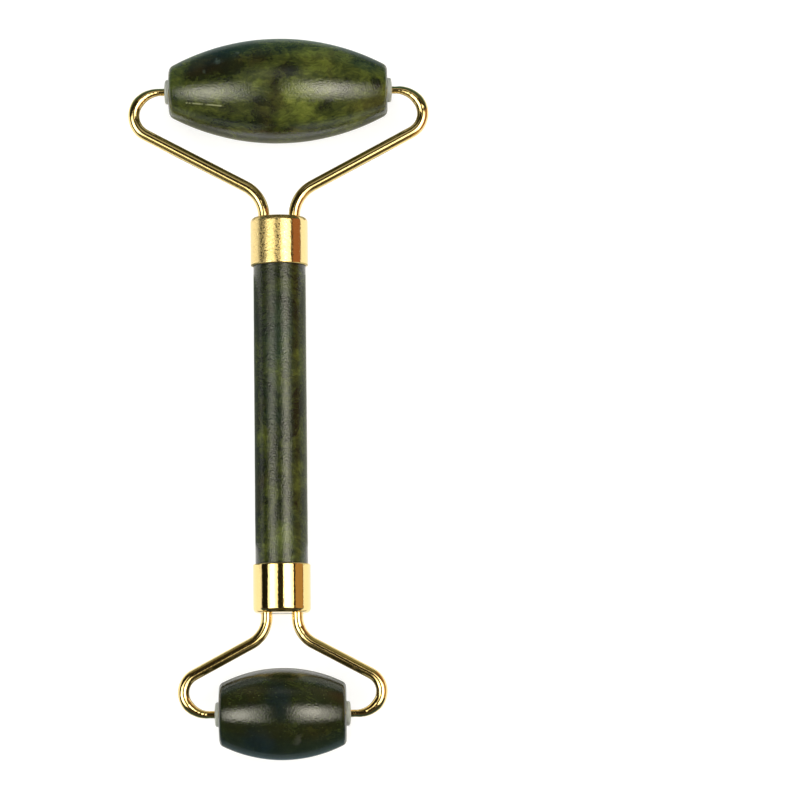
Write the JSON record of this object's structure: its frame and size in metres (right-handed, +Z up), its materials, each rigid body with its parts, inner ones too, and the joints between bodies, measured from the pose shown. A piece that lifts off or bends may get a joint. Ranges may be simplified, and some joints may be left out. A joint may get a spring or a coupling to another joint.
{
  "type": "jade face roller",
  "caption": "Two-ended facial massage roller: polished jade handle, gold-plated ferrules and wire yokes, and a long and a short jade barrel that turn freely.",
  "frame": {"origin": "under the middle of the outline, on the surface that the roller lies on", "axes": "+X along the barrels' axes, +Y along the handle towards the large barrel, +Z up"},
  "size_m": [0.0604, 0.145, 0.0211],
  "materials": {
    "handle_jade": "polished",
    "roller_jade": "polished",
    "gold_plating": "polished",
    "bush_nylon": "satin",
    "potting_resin": "gloss"
  },
  "bodies": {
    "frame": {"handle_stone": "handle_jade", "large_ferrule": "gold_plating", "large_ferrule_potting": "potting_resin", "large_yoke_wire": "gold_plating", "small_ferrule": "gold_plating", "small_ferrule_potting": "potting_resin", "small_yoke_wire": "gold_plating"},
    "large_roller": {"large_roller_stone": "roller_jade", "large_roller_bush_left": "bush_nylon", "large_roller_bush_right": "bush_nylon"},
    "small_roller": {"small_roller_stone": "roller_jade", "small_roller_bush_left": "bush_nylon", "small_roller_bush_right": "bush_nylon"}
  },
  "joints": [
    {"name": "large_roller_spin", "type": "hinge", "parent": "frame", "child": "large_roller", "pos_m": [0, 0.06195, 0.01055], "axis": [1, 0, 0], "continuous": true},
    {"name": "small_roller_spin", "type": "hinge", "parent": "frame", "child": "small_roller", "pos_m": [0, -0.06335, 0.01055], "axis": [1, 0, 0], "continuous": true}
  ]
}
